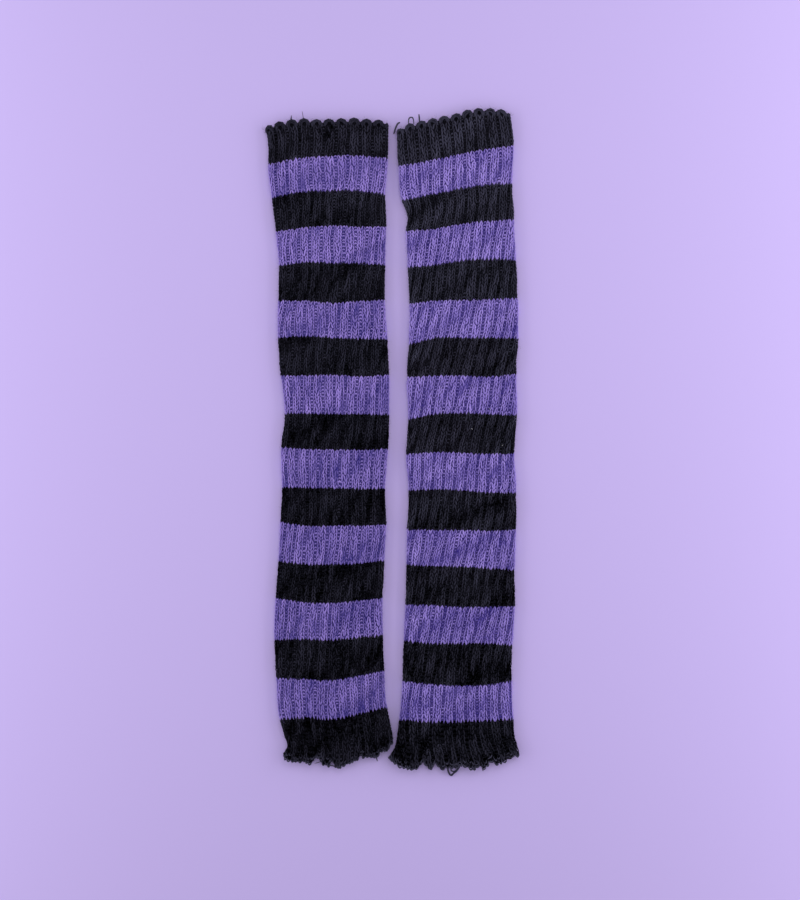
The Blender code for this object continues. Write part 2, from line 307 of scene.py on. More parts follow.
# The fuzz
FIBRES = 8400  # thrown over each tube, for each of its colours
TOP_FIBRES = 700  # of them, along the top edge
TOP_FIBRE_COURSES = 1.4  # how far from that edge those start
FIBRE_ROOTS = (-0.7, 0.0)  # mm, the heights between which the fibres start
FIBRE_LENGTH = 2.6  # mm, of a common fibre
FIBRE_VARIETY = 0.45  # how much the logarithm of the length differs
FIBRE_REACH = 5.0  # mm, the most that a fibre's tip lies from its root
FIBRE_STEPS = (0.0, 0.35, 0.7, 1.0)  # the places along a fibre of its points
FIBRE_RADIUS = 0.048  # mm
FIBRE_TAPER = (1.0, 1.0, 0.7, 0.3)  # the share of that radius at each of its points
FIBRE_SIDES = 3
FIBRE_CLEAR = 0.1  # mm, the least height above the floor
FUZZ_ABOVE = -0.75  # only where the outward normal's Z is more
NORMAL_STEP = 2.0  # mm, between the two points that give the outward normal

# How a fibre lies, as shares of its length: how far it stands off the yarn along all of it, how
# far all but its root is lifted at once, and how far it leans and bends at random
FIBRE_STAND = 0.55
FIBRE_RISE = 0.15
FIBRE_LEAN = 0.5
FIBRE_BEND = 0.35

SHELL_RINGS_PER_BAND = 4
SHELL_COLUMNS_PER_WALE = 2
SHELL_COURSES = (0.62, 186.8)  # the first and the last one that it covers

# The light: white from all round, a long low soft panel on each side and a soft box above
DOME_STRENGTH = 0.46
SOFTBOXES = {
    # place, aim, width and height in metres, watts
    "left_panel": ((-0.8, 0.03, 0.32), (0.0, 0.0, 0.0), 1.5, 0.5, 4.6),
    "right_panel": ((0.8, 0.03, 0.32), (0.0, 0.0, 0.0), 1.5, 0.5, 4.85),
    "overhead": ((0.2, 0.6, 1.0), (0.1, 0.15, 0.0), 0.8, 0.8, 2.2),
}
FLOOR_Z = -0.0003
FLOOR_HALF = 3.0  # metres

# The yarns' colours, as red, green and blue from 0 to 255: a painted shade colour for the depths
# between the stitches and a painted highlight colour for their crests, the yarn's own between them
YARNS_LIT_AND_SHADED = {
    ("left", "dark"): ((3, 3, 13), (55, 54, 71)),
    ("left", "violet"): ((86, 59, 158), (146, 123, 208)),
    ("right", "dark"): ((4, 4, 15), (60, 59, 77)),
    ("right", "violet"): ((92, 66, 165), (150, 128, 213)),
}
COLOUR_REACH = 0.5  # how far the mottling goes past both colours, as a share of their step
FLOOR_COLOUR = (203, 184, 244)
FLOOR_ROUGHNESS = 0.8
FLOOR_GLOSS = 0.1
# painted shade: the shell under the stitches is painted darker than the yarn, as a share of its
# colours
SHELL_PAINTED_SHADE = {"dark": 0.7, "violet": 0.86}  # the shell's colours, as a share of the yarn's
GLOSS = {"dark": 0.0, "violet": 0.15}  # the specular level
SHEEN = {"dark": 0.0, "violet": 0.08}
SHEEN_TINT = 3.0  # how many times as bright as the crest colour
SHEEN_ROUGHNESS = 0.5
YARN_ROUGHNESS = 0.9
LINT_COLOURS = ((120, 118, 132), (160, 158, 170))

# What mottles the yarn between its painted shade and highlight colours: its tone, which holds painted
# light, soft patches and fine fibres
TONE_WEIGHT = 0.5
TONE_BASE = -0.3
PATCHES = (45.0, 3.0)  # the scale and detail of a noise
PATCHES_WEIGHT = 0.5
FINE_FIBRES = (900.0, 2.0)
FINE_FIBRES_WEIGHT = 0.6
BUMP_STRENGTH = 0.5
BUMP_HEIGHT = 0.4  # mm

# Furrows pressed into a front panel, in mm but for the courses and the place across
CREASE_FADE = 0.25  # of a furrow's length, at each of its ends
LEFT_CREASES = (
    # across, across at its end, from course, to course, depth, half its width
    (0.071, 0.066, -4.0, 15.0, 2.6, 2.2),
    (0.28, 0.37, 58.0, 86.0, 0.5, 5.5),
    (0.66, 0.58, 112.0, 131.0, 0.4, 4.0),
    (0.20, 0.24, 142.0, 168.0, 0.45, 5.0),
)
RIGHT_CREASES = (
    # across, across at its end, from course, to course, depth, half its width
    (0.30, 0.26, 20.0, 34.0, 0.5, 5.0),
    (0.56, 0.64, 68.0, 97.0, 0.55, 5.5),
    (0.34, 0.27, 122.0, 139.0, 0.4, 4.5),
    (0.74, 0.67, 148.0, 171.0, 0.5, 4.0),
)

# Loose ends of yarn: the tube, the radii at both ends and the points of the route, in mm
LOOSE_ENDS = {
    "left_tuft": (
        ("left", 0.9, 0.15),
        ((-92.0, 291.5, 4.6), (-91.8, 293.6, 4.8), (-91.6, 296.2, 5.0)),
    ),
    "left_hair": (
        ("left", 0.3, 0.2),
        ((-80.4, 291.6, 5.0), (-81.1, 296.0, 5.4), (-81.8, 299.6, 6.0)),
    ),
    "left_notch_thread": (
        ("left", 0.35, 0.3),
        ((-70.6, -299.0, 3.0), (-67.6, -298.4, 3.4), (-64.6, -297.4, 3.0)),
    ),
    "left_second_thread": (
        ("left", 0.5, 0.45),
        ((-56.8, -300.8, 3.0), (-52.6, -301.6, 3.6), (-49.2, -303.0, 3.0)),
    ),
    "left_hem_stub": (
        ("left", 0.7, 0.5),
        ((-15.2, -291.6, 3.0), (-13.6, -294.4, 2.6), (-12.6, -297.4, 2.0)),
    ),
    "right_yarn_end": (
        ("right", 0.9, 0.7),
        ((8.2, 289.4, 4.8), (6.0, 288.2, 4.6), (4.0, 284.4, 2.4), (2.2, 279.0, 0.9)),
    ),
    "right_loop": (
        ("right", 0.6, 0.6),
        ((15.9, 287.6, 5.0), (16.0, 291.6, 5.4), (17.0, 293.6, 5.6),
         (19.2, 293.8, 5.6), (20.3, 292.0, 5.4), (20.9, 287.6, 5.0)),
    ),
    "right_stub": (
        ("right", 0.8, 0.6),
        ((25.9, 289.6, 5.0), (25.7, 293.6, 5.4), (25.4, 297.0, 5.4)),
    ),
    "right_hem_loop": (
        ("right", 0.95, 0.75),
        ((53.2, -299.0, 4.6), (52.0, -304.0, 3.8), (53.2, -308.2, 2.4), (55.2, -310.2, 1.6),
         (57.6, -308.0, 2.0), (60.4, -305.4, 3.0), (62.2, -301.8, 4.2), (59.4, -299.8, 5.4),
         (56.4, -302.2, 5.6), (55.0, -305.2, 4.8), (58.0, -306.2, 4.4), (61.4, -303.4, 4.2)),
    ),
    "right_hem_stub": (
        ("right", 0.7, 0.5),
        ((83.4, -302.4, 3.4), (84.2, -304.6, 2.8), (84.4, -306.4, 2.2)),
    ),
}
END_POINTS = 6  # along a loose end, for each point of its route
END_BLUNTNESS = 0.25  # the power of the sine that rounds off both of its ends
END_START = 0.15  # radians, where that sine starts

# Specks of pale lint on the dark yarn: where each one lies, in mm, and its length
LINT = (
    # side, x, y, length
    ("left", -6.7, 98.2, 2.6),
    ("right", 26.5, 26.5, 2.2),
    ("right", 90.9, 25.5, 2.0),
    ("right", 74.3, 7.1, 2.4),
    ("right", 102.8, -6.7, 1.8),
)
LINT_HEIGHT = 0.3  # mm above the cloth
LINT_RADIUS = 0.22  # mm
LINT_CURL = 2.2  # radians, from one end of a speck to the other
LINT_POINTS = 7
LINT_SIDES = 4


# Curves and the surface of a tube


def ease(t):
    """0 below 0, 1 above 1, and smooth between."""
    t = np.clip(t, 0.0, 1.0)
    return t * t * (3 - 2 * t)


def between(t, span, low, high, slope_low, slope_high):
    """The smooth curve from low to high with these slopes at its ends, for t from 0 to 1."""
    near = (1 + 2 * t) * (1 - t) ** 2 * low + t * (1 - t) ** 2 * span * slope_low
    far = t**2 * (3 - 2 * t) * high + t**2 * (t - 1) * span * slope_high
    return near + far


def stretch_of(places, at):
    """The stretch between two places that holds each number of at: its first place, its
    length, and how far along it the number lies."""
    at = np.clip(np.asarray(at, float), places[0], places[-1])
    low = np.clip(np.searchsorted(places, at, side="right") - 1, 0, len(places) - 2)
    span = places[low + 1] - places[low]
    return low, span, (at - places[low]) / span


def smooth(places, values, at):
    """A smooth curve through values at places, read at each number of at."""
    places = np.asarray(places, float)
    values = np.asarray(values, float)
    slopes = np.gradient(values, places, axis=0)
    low, span, t = stretch_of(places, at)
    if values.ndim > 1:
        t, span = t[..., None], span[..., None]
    return between(t, span, values[low], values[low + 1], slopes[low], slopes[low + 1])


def smooth_across(rows, at):
    """The same through a row of values of its own for each number of at."""
    places = np.asarray(PLACES_ACROSS)
    slopes = np.gradient(rows, places, axis=1)
    low, span, t = stretch_of(places, at)
    each = np.arange(len(at))
    low_end = (rows[each, low], slopes[each, low])
    high_end = (rows[each, low + 1], slopes[each, low + 1])
    return between(t, span, low_end[0], high_end[0], low_end[1], high_end[1])


def flat_ring(turn, width, thickness):
    """Points of a flattened tube's section and their outward normals, for turn from 0 at the
    left fold, over the top, 0.5 at the right fold and back along the underside."""
    radius = thickness / 2
    run = width - thickness
    quarter = np.pi * radius / 2
    along = np.mod(turn, 1.0) * (2 * run + 4 * quarter)
    first = np.clip(along, 0, quarter)
    over = np.clip(along - quarter, 0, run)
    right = np.clip(along - quarter - run, 0, 2 * quarter)
    back = np.clip(along - 3 * quarter - run, 0, run)
    last = np.clip(along - 3 * quarter - 2 * run, 0, quarter)
    angle = np.pi - (first + right + last) / radius
    nx = np.cos(angle)
    nz = np.sin(angle)
    x = over - back - run / 2 + radius * nx
    z = radius + radius * nz
    return x, z, nx, nz


def squeezed(wale):
    """Where a wale lies among the others: the sunk ones are narrow, the raised ones wide."""
    turn = 2 * np.pi * wale / WALES_PER_RIB
    return wale - NARROWING * WALES_PER_RIB / (2 * np.pi) * np.sin(turn)


def spread(turn):
    """Moves the ribs towards both folds on the front, and closer together on the back."""
    return turn + FRONT_SPREAD * np.sin(2 * np.pi * (turn - 0.25))


def furrows(creases, across, width, course):
    """How deep the furrows are at places across a front panel, in mm."""
    depth = np.zeros(len(across))
    for start, end, first, last, deep, half_width in creases:
        t = np.clip((course - first) / (last - first), 0.0, 1.0)
        off = np.abs(across - start - (end - start) * t) * width
        fade = ease(t / CREASE_FADE) * ease((1 - t) / CREASE_FADE)
        depth += deep * fade * ease(1 - off / half_width)
    return depth


def scallop(wale):
    """The round outline of the rib's end: 1 on the middle of a rib, 0 on the sunk wale."""
    from_middle = 2 * np.mod(wale / WALES_PER_RIB, 1.0) - 1
    return np.sqrt(np.clip(1 - from_middle**2, 0.0, 1.0))


def on_surface(tube, wale, course, height):
    """Points in metres on a tube, for wales and courses as numbers with fractions, at height
    mm above the raised wales, and the Z of the outward normal."""
    rows = tube["rows"]
    inside = np.clip(course, 0, LAST_COURSE)
    row = smooth(rows[:, 0], rows[:, 1:], inside)
    left, right, wound = row[:, 0], row[:, 1], row[:, 7]
    width = right - left
    round_tube = 2 * width + (np.pi - 2) * FLAT_THICKNESS
    turn = spread((squeezed(wale) + 0.5) / WALES_ROUND + wound / round_tube)
    x, z, nx, nz = flat_ring(turn, width, FLAT_THICKNESS)
    x = x + height * nx
    z = z + height * nz
    across = np.clip(x / width + 0.5, 0.0, 1.0)
    ruffle = ease(1 - (LAST_COURSE - inside) / RUFFLE_COURSES)
    across_hem, reach, lift = np.transpose(tube["hem"])
    from_fold = np.minimum(across, 1 - across) * width
    puff = FOLD_PUFF * ease(1 - np.abs(from_fold - FOLD_PUFF_REACH / 2) / FOLD_PUFF_REACH)
    upper = (1 + nz) / 2
    points = np.empty((len(x), 3))
    points[:, 0] = (left + right) / 2 + x
    points[:, 1] = smooth_across(row[:, 2:7], across) + (inside - course) * COURSE
    points[:, 1] -= ruffle * smooth(across_hem, reach, across)
    top = ease(1 - inside / SCALLOP_COURSES)
    points[:, 1] += top * (SCALLOP_HEIGHT[tube["side"]] * scallop(wale) - SCALLOP_DROP)
    points[:, 1] -= top * (1 - upper) * BACK_SHORT
    points[:, 1] -= top * CORNER_DROP * ease(1 - from_fold / CORNER_REACH)
    points[:, 2] = z + upper * (puff + ruffle * smooth(across_hem, lift, across))
    points[:, 2] -= upper * furrows(tube["creases"], across, width, inside)
    points[:, 2] = np.maximum(points[:, 2], 0.0)
    return (points + PAIR_SHIFT) * MM, nz


# Meshes


def mesh_piece(name, points, faces, materials, face_material=None, tones=None):
    """A smooth mesh object, with a material for each face and a tone for each point."""
    mesh = bpy.data.meshes.new(name)
    mesh.from_pydata(points, [], faces)
    for material in materials:
        mesh.materials.append(material)
    if face_material is not None:
        mesh.polygons.foreach_set("material_index", np.asarray(face_material, np.int32))
    if tones is not None:
        attribute = mesh.attributes.new("tone", "FLOAT", "POINT")
        attribute.data.foreach_set("value", tones.astype(np.float32))
    mesh.shade_smooth()
    piece = bpy.data.objects.new(name, mesh)
    bpy.context.collection.objects.link(piece)
    return piece


def joined(parts):
    """Several (points, faces, tones) as one."""
    first = 0
    points, faces, tones = [], [], []
    for part_points, part_faces, part_tones in parts:
        points.append(part_points)
        faces.append(part_faces + first)
        tones.append(part_tones)
        first += len(part_points)
    return np.concatenate(points), np.concatenate(faces), np.concatenate(tones)


def tapered_faces(rings, sides):
    """The triangles of a closed form: its first tip, its rings of points, its last tip."""
    faces = []
    for i in range(sides):
        j = (i + 1) % sides
        faces.append((0, 1 + j, 1 + i))
        for ring in range(rings - 1):
            a = 1 + ring * sides
            faces.append((a + i, a + j, a + sides + j))
            faces.append((a + i, a + sides + j, a + sides + i))
        a = 1 + (rings - 1) * sides
        faces.append((a + i, a + j, 1 + rings * sides))
    return np.array(faces)


def lobe(table, side, sides, girth):
    """Offsets in wales, courses and mm for one lobe's points, mirrored where side is -1, and
    its faces. The girth is how far its rings reach across the wale and along it, in radii."""
    offsets = []
    for course, wale, height, radius in table:
        corners = 1 if radius == 0.0 else sides
        for i in range(corners):
            angle = 2 * np.pi * i / sides + np.pi / 2
            aside = radius * np.cos(angle)
            at_wale = side * (wale + girth[0] * aside / WALE)
            at_course = course - girth[1] * aside / COURSE
            offsets.append((at_wale, at_course, height + radius * np.sin(angle)))
    faces = tapered_faces(len(table) - 2, sides)
    return np.array(offsets), faces[:, ::side]


def strands(lines, radii, sides, tones):
    """Tapered strands of yarn along lines, an array of strands by points by 3, in metres, with
    a radius in mm at each of their points."""
    count, length, _ = lines.shape
    along = np.gradient(lines, axis=1)
    along /= np.linalg.norm(along, axis=2, keepdims=True)
    aside = np.cross(along, (0.0, 0.0, 1.0))
    aside += 1e-9  # so that an upright strand has a side too
    aside /= np.linalg.norm(aside, axis=2, keepdims=True)
    up = np.cross(aside, along)
    rings = []
    for i in range(sides):
        angle = 2 * np.pi * i / sides
        out = np.cos(angle) * aside + np.sin(angle) * up
        rings.append(lines + out * (radii * MM)[..., None])
    rings = np.stack(rings, axis=2)[:, 1:-1].reshape(count, -1, 3)
    points = np.concatenate([lines[:, :1], rings, lines[:, -1:]], axis=1)
    faces = tapered_faces(length - 2, sides)[:, ::-1]
    size = 2 + (length - 2) * sides
    starts = np.arange(count) * size
    faces = (starts[:, None, None] + faces).reshape(-1, 3)
    points = points.reshape(-1, 3)
    points[:, 2] = np.maximum(points[:, 2], 0.0)
    return points, faces, np.repeat(tones, size)


# What changes from stitch to stitch


def waves(rng, count, most_round, most_along):
    """Soft uneven waves over a tube: how many go round it and along it, where each one starts
    and its share."""
    found = []
    for _ in range(count):
        numbers = rng.integers(0, most_round + 1), rng.uniform(1, most_along)
        found.append((*numbers, rng.uniform(0, 2 * np.pi), rng.normal()))
    return found


def read_waves(found, wale, course):
    """The sum of the waves at each wale and course, about 1 in size."""
    total = np.zeros(len(wale))
    for round_tube, along, start, share in found:
        turn = round_tube * wale / WALES_ROUND + along * course / LAST_COURSE
        total += share * np.sin(2 * np.pi * turn + start)
    return total / np.sqrt(len(found) / 2)


def yarn_of(band):
    """The kind of yarn that a band is knitted of."""
    return ("dark", "violet")[band % 2]


def drifted(tube, wale, course):
    """The wales where the knit's slow sideways drift has moved them."""
    free = ease(course / DRIFT_COURSES)
    return wale + DRIFT * free * read_waves(tube["drift"], wale, course)


def painted_top_light(tube, kind, course):
    """Painted light: how much the tone of one kind of yarn is raised at a course, paler to the top."""
    low, rise, power = PAINTED_TOP_LIGHT[tube["side"], kind]
    return low + rise * (1 - course / LAST_COURSE) ** power


def painted_height_shade(height):
    """Painted shade and highlight: how much the tone is raised at a height above the raised wales."""
    low, high = PAINTED_SHADE_HEIGHTS
    return PAINTED_CREST_LIGHT * np.clip((height - low) / (high - low), 0.0, 1.0)


def stitches(tube, band, rng):
    """All the stitches of one band of yarn, as points, faces and tones."""
    wale, course = np.meshgrid(np.arange(WALES_ROUND), np.arange(COURSES_PER_BAND))
    wale = wale.ravel().astype(float)
    course = course.ravel() + band * COURSES_PER_BAND + STITCH_MIDDLE
    _, nz = on_surface(tube, wale, course, np.zeros(len(wale)))
    in_rib = wale % WALES_PER_RIB
    pressed = nz < PRESSED_BELOW
    stands = ease((nz - RIBS_FADE[0]) / (RIBS_FADE[1] - RIBS_FADE[0]))
    swell = SWELL * read_waves(tube["swell"], wale, course)
    below = course > CROWN_COURSES
    under_knobs = course < CROWN_COURSES + 1
    parts = []
    for side in (-1, 1):
        inner_leg = in_rib == (1 if side > 0 else 2)
        legs = (in_rib > 0) & below & ~(under_knobs & inner_leg)
        parts.append((legs & ~pressed, LEG, side, LOBE_SIDES, LEG_GIRTH))
        parts.append((legs & pressed, PRESSED_LEG, side, PRESSED_SIDES, LEG_GIRTH))
    bumps = (in_rib == 0) & below
    parts.append((bumps & ~pressed, BUMP, 1, LOBE_SIDES, BUMP_GIRTH))
    parts.append((bumps & pressed, PRESSED_BUMP, 1, PRESSED_SIDES, BUMP_GIRTH))
    made = []
    for chosen, table, side, sides, girth in parts:
        offsets, template = lobe(table, side, sides, girth)
        count = int(chosen.sum())
        shift = rng.normal(0, 1, (count, 3)) * STITCH_SHIFT
        size = rng.normal(1, STITCH_GROWTH, (count, 1))
        at_wale = (wale[chosen, None] + shift[:, :1] + offsets[:, 0] * size).ravel()
        at_course = (course[chosen, None] + shift[:, 1:2] + offsets[:, 1] * size).ravel()
        at_course = np.minimum(at_course, STITCHES_END)
        lift = swell[chosen, None] + shift[:, 2:]
        lift = lift - (in_rib == 0)[chosen, None] * tube["sunk_depth"]
        height = (offsets[:, 2] + lift * stands[chosen, None]).ravel()
        at_wale = drifted(tube, at_wale, at_course)
        points, _ = on_surface(tube, at_wale, at_course, height)
        starts = np.arange(count) * len(offsets)
        faces = (starts[:, None, None] + template).reshape(-1, 3)
        # a random tone for each stitch, and painted light: paler where the slow swell lifts the stitch
        tones = STITCH_TONE * (rng.normal(0, 1, count) + swell[chosen] / SWELL)
        # painted light, paler towards the top edge
        tones += painted_top_light(tube, yarn_of(band), course[chosen])
        # painted shade deep between the stitches and painted highlight at their crests, by height
        made.append((points, faces, np.repeat(tones, len(offsets)) + painted_height_shade(height)))
    return joined(made)


def cast_on_loops(tube, rng):
    """The round knob at the top of each rib: a thick arch of yarn and a thinner one in it."""
    made = []
    t = np.linspace(-0.5, 0.5, ARCH_POINTS)
    turn = np.pi * np.clip(t / ARCH_SHARE, -0.5, 0.5)
    down = np.clip((2 * np.abs(t) - ARCH_SHARE) / (1 - ARCH_SHARE), 0.0, 1.0)
    for half_width, crown, rise, foot, height, thick in CAST_ON_ARCHES:
        lines, radii = [], []
        for rib in range(RIBS_ROUND):
            shift = rng.normal(0, 1, 4) * KNOB_UNEVENNESS
            lean = shift[0] * np.cos(turn)
            wale = (rib + 0.5 + half_width * np.sin(turn)) * WALES_PER_RIB + lean
            risen = rise * (1 + shift[3]) * (1 - np.cos(turn))
            course = crown + risen + foot * down + shift[1]
            points, _ = on_surface(tube, wale, course, height + shift[2] + 0 * t)
            lines.append(points)
            radii.append(thick * rng.normal(1, KNOB_THICKNESS) * (1 - LEG_TAPER * down))
        # a painted highlight on the knobs, as at a crest, with the painted top light
        tones = PAINTED_KNOB_LIGHT + painted_top_light(tube, "dark", 0.0)
        tones = tones + STITCH_TONE * rng.normal(0, 1, RIBS_ROUND)
        made.append(strands(np.array(lines), np.array(radii), YARN_SIDES, tones))
    return joined(made)


def cast_off_loops(tube, rng):
    """The slanted loops of the bottom edge, two to each wale."""
    made = []
    t = np.linspace(0, 1, LOOP_POINTS)
    for start, end, course, last, height, thick in CAST_OFF_LOOPS:
        lines, radii = [], []
        for wale in range(WALES_ROUND):
            shift = rng.normal(0, 1, 3) * LOOP_UNEVENNESS
            at_wale = wale + start + (end - start) * t + shift[0]
            at_course = course + (last - course) * np.sin(np.pi * t) + shift[1]
            points, _ = on_surface(tube, at_wale, at_course, height + shift[2] + 0 * t)
            lines.append(points)
            radii.append(thick * rng.normal(1, LOOP_THICKNESS) * np.sin(np.pi * t) ** 0.5)
        # a painted highlight on the loops, as at a crest, and a random tone
        tones = PAINTED_CREST_LIGHT + STITCH_TONE * rng.normal(0, 1, WALES_ROUND)
        made.append(strands(np.array(lines), np.array(radii), LOOP_SIDES, tones))
    return joined(made)


def loose_ends(side, rng):
    """The ends and loops of yarn that stick out of one tube's edges."""
    made = []
    for (on_side, first_radius, last_radius), route in LOOSE_ENDS.values():
        if on_side != side:
            continue
        knots = np.arange(len(route))
        at = np.linspace(0, knots[-1], END_POINTS * len(route))
        line = (smooth(knots, np.array(route) + PAIR_SHIFT, at) * MM)[None]
        radii = np.linspace(first_radius, last_radius, len(at))
        turn = np.linspace(END_START, np.pi - END_START, len(at))
        radii = radii * np.sin(turn) ** END_BLUNTNESS
        # a painted highlight on the loose end, as at a crest, and a random tone
        tones = PAINTED_CREST_LIGHT + STITCH_TONE * rng.normal(0, 1, 1)
        made.append(strands(line, radii[None], YARN_SIDES, tones))
    return joined(made)


def fuzz(tube, rng, count, bands_parity):
    """Fine curved fibres that stand off the yarn, on the bands of one colour."""
    wale = rng.uniform(0, WALES_ROUND, count)
    course = rng.uniform(0, LAST_COURSE, count)
    course[:TOP_FIBRES] *= TOP_FIBRE_COURSES / LAST_COURSE
    root, nz = on_surface(tube, wale, course, rng.uniform(*FIBRE_ROOTS, count))
    band = (course // COURSES_PER_BAND).astype(int)
    kept = (nz > FUZZ_ABOVE) & (band % 2 == bands_parity)
    wale, course, root = wale[kept], course[kept], root[kept]
    count = len(wale)
    outer, _ = on_surface(tube, wale, course, np.full(count, NORMAL_STEP))
    base, _ = on_surface(tube, wale, course, np.zeros(count))
    normal = (outer - base) / (NORMAL_STEP * MM)
    length = FIBRE_LENGTH * rng.lognormal(0, FIBRE_VARIETY, count)[:, None] * MM
    lean = rng.normal(0, 1, (count, 3))
    bend = rng.normal(0, 1, (count, 3))
    steps = []
    for t in FIBRE_STEPS:
        away = normal * (FIBRE_STAND * t + FIBRE_RISE * (t > 0))
        away = away + FIBRE_LEAN * lean * t + FIBRE_BEND * bend * t * t
        steps.append(away * length)
    tip = np.linalg.norm(steps[-1], axis=1, keepdims=True)
    shorter = np.minimum(1.0, FIBRE_REACH * MM / tip)
    lines = np.stack([root + step * shorter for step in steps], axis=1)
    lines[..., 2] = np.maximum(lines[..., 2], FIBRE_CLEAR * MM)
    radii = np.tile(FIBRE_RADIUS * np.array(FIBRE_TAPER), (count, 1))
    # a painted highlight on the fibres, as at a crest, and a random tone
    tones = PAINTED_CREST_LIGHT + STITCH_TONE * rng.normal(0, 1, count)
    return strands(lines, radii, FIBRE_SIDES, tones)


def lint(side, rng):
    """The few curled specks of pale lint on one tube's front."""
    made = []
    t = np.linspace(0, 1, LINT_POINTS)
    radii = np.full((1, LINT_POINTS), LINT_RADIUS)
    for on_side, x, y, length in LINT:
        if on_side != side:
            continue
        turn = rng.uniform(0, 2 * np.pi) + rng.choice((-1, 1)) * LINT_CURL * t
        steps = np.stack([np.cos(turn), np.sin(turn), 0 * t], axis=1) * length / LINT_POINTS
        line = np.cumsum(steps, axis=0) + (x, y, FLAT_THICKNESS + LINT_HEIGHT)
        line = (line + PAIR_SHIFT) * MM
        made.append(strands(line[None], radii, LINT_SIDES, np.ones(1)))
    return joined(made)


def grid_faces(first, round_count, ring_count, outward):
    """Quads between the rings of points that follow each other from index first."""
    faces = []
    for ring in range(ring_count - 1):
        for i in range(round_count):
            a = first + ring * round_count + i
            b = first + ring * round_count + (i + 1) % round_count
            quad = (a, a + round_count, b + round_count, b)
            faces.append(quad if outward else quad[::-1])
    return faces


def rim_faces(outer, outer_turn, inner, inner_turn, at_top):
    """Triangles across the wall at one end, between its outer and inner points."""
    order = np.argsort(outer_turn)
    outer, outer_turn = outer[order], outer_turn[order]
    many, few = len(outer), len(inner)
    faces = []
    o = i = 0
    while o < many or i < few:
        next_outer = outer_turn[(o + 1) % many] + (o + 1) // many
        next_inner = inner_turn[(i + 1) % few] + (i + 1) // few
        at_outer, at_inner = outer[o % many], inner[i % few]
        if i >= few or (o < many and next_outer <= next_inner):
            o += 1
            face = (at_outer, outer[o % many], at_inner)
        else:
            i += 1
            face = (at_outer, inner[i % few], at_inner)
        faces.append(face if at_top else face[::-1])
    return faces


def inner_ring(tube, course):
    """The plain inside of the cloth at one course, round the slit between the panels."""
    rows = tube["rows"]
    row = smooth(rows[:, 0], rows[:, 1:], course)
    turn = np.arange(INNER_POINTS) / INNER_POINTS
    x, z, _, nz = flat_ring(turn, row[1] - row[0] - 2 * SIDE_WALL, PANEL_GAP)
    across = np.clip(x / (row[1] - row[0]) + 0.5, 0.0, 1.0)
    ruffle = ease(1 - (LAST_COURSE - course) / RUFFLE_COURSES)
    across_hem, reach, lift = np.transpose(tube["hem"])
    y = smooth(PLACES_ACROSS, row[2:7], across) - ruffle * smooth(across_hem, reach, across)
    y += ruffle * INNER_SHORT[1] - ease(1 - course / SCALLOP_COURSES) * INNER_SHORT[0]
    z = z + BACK_WALL + (1 + nz) / 2 * ruffle * smooth(across_hem, lift, across)
    points = np.stack([(row[0] + row[1]) / 2 + x, y, z], axis=1)
    return (points + PAIR_SHIFT) * MM, turn


def shell(tube, materials):
    """The cloth under the stitches: a closed wall round the slit between the panels."""
    steps = BANDS * SHELL_RINGS_PER_BAND
    courses = np.linspace(*SHELL_COURSES, steps + 1)
    columns = SHELL_COLUMNS_PER_WALE * WALES_ROUND
    wale = np.arange(columns) / SHELL_COLUMNS_PER_WALE
    sunk = (1 + np.cos(2 * np.pi * wale / WALES_PER_RIB)) / 2
    outer, inner = [], []
    for course in courses:
        points, _ = on_surface(tube, wale, course + 0 * wale, -SHELL_DEPTH - sunk * tube["sunk_depth"])
        outer.append(points)
        points, inner_turn = inner_ring(tube, course)
        inner.append(points)
    base = len(courses) * columns
    faces = grid_faces(0, columns, len(courses), True)
    faces += grid_faces(base, INNER_POINTS, len(courses), False)
    for ring in (0, steps):
        left, right, wound = smooth(tube["rows"][:, 0], tube["rows"][:, (1, 2, 8)], courses[ring])
        round_tube = 2 * (right - left) + (np.pi - 2) * FLAT_THICKNESS
        turn = (squeezed(wale) + 0.5) / WALES_ROUND + wound / round_tube
        turn = np.mod(spread(turn), 1.0)
        outer_points = ring * columns + np.arange(columns)
        inner_points = base + ring * INNER_POINTS + np.arange(INNER_POINTS)
        faces += rim_faces(outer_points, turn, inner_points, inner_turn, ring == 0)
    faces = [tuple(int(v) for v in face) for face in faces]
    course_of = np.concatenate([np.repeat(courses, columns), np.repeat(courses, INNER_POINTS)])
    middles = [np.mean(course_of[list(face)]) for face in faces]
    kinds = (np.array(middles) // COURSES_PER_BAND).clip(0, BANDS - 1) % 2
    points = np.concatenate(outer + inner)
    return mesh_piece(tube["name"] + "_shell", points, faces, materials, kinds)


# Materials


def linear(colour):
    """A screen colour from 0 to 255 as the linear one that a shader takes."""
    share = np.asarray(colour) / 255
    return np.where(share <= 0.04045, share / 12.92, ((share + 0.055) / 1.055) ** 2.4)


def noise(nodes, links, place, scale, detail):
    """A noise texture that is fixed to the object."""
    texture = nodes.new("ShaderNodeTexNoise")
    texture.inputs["Scale"].default_value = scale
    texture.inputs["Detail"].default_value = detail
    links.new(place.outputs["Object"], texture.inputs["Vector"])
    return texture


def weighted(nodes, links, value, weight, added):
    """value times weight, plus added."""
    node = nodes.new("ShaderNodeMath")
    node.operation = "MULTIPLY_ADD"
    node.inputs[1].default_value = weight
    links.new(value, node.inputs[0])
    if isinstance(added, float):
        node.inputs[2].default_value = added
    else:
        links.new(added, node.inputs[2])
    return node.outputs[0]


